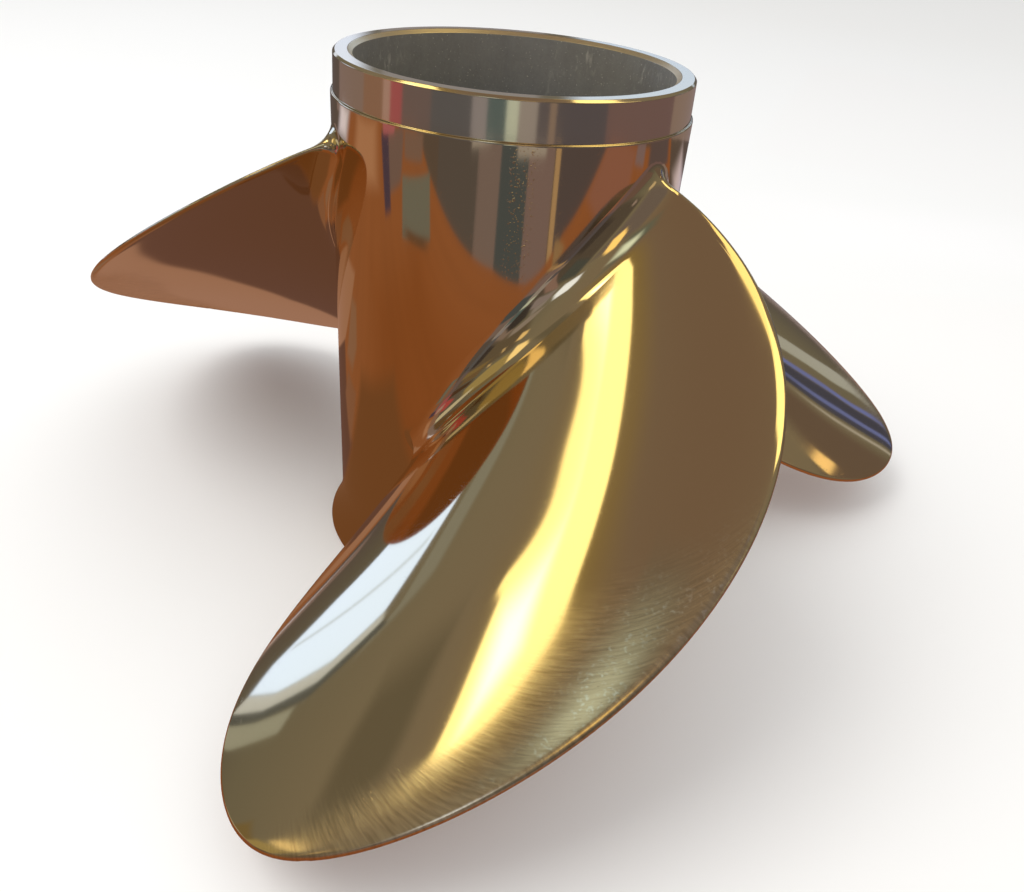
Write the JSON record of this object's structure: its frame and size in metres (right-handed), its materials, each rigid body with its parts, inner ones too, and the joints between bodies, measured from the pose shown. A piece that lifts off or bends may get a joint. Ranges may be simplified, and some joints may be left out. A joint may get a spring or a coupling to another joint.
{
  "type": "boat propeller",
  "caption": "Right-hand boat propeller with a hollow exhaust barrel, a flared aft lip, swept round-tipped blades and a rubber-bushed splined hub.",
  "frame": {"origin": "centre of mass, on the shaft axis", "axes": "+Z along the shaft axis towards the machined forward mouth; -Y through the root of the blade that faces the viewer"},
  "size_m": [0.35, 0.329, 0.1807],
  "materials": {
    "polished_bronze": "polished, with fine brushing",
    "cast_bronze": "rough as-cast, dark",
    "bushing_rubber": "matt black",
    "sleeve_brass": "machined"
  },
  "bodies": {
    "root": {"barrel": "polished_bronze", "flare_ring": "polished_bronze", "blade_1": "polished_bronze", "blade_2": "polished_bronze", "blade_3": "polished_bronze", "inner_hub": "cast_bronze", "rib_1": "cast_bronze", "rib_2": "cast_bronze", "rib_3": "cast_bronze", "rubber_bushing": "bushing_rubber", "splined_sleeve": "sleeve_brass"}
  },
  "joints": []
}
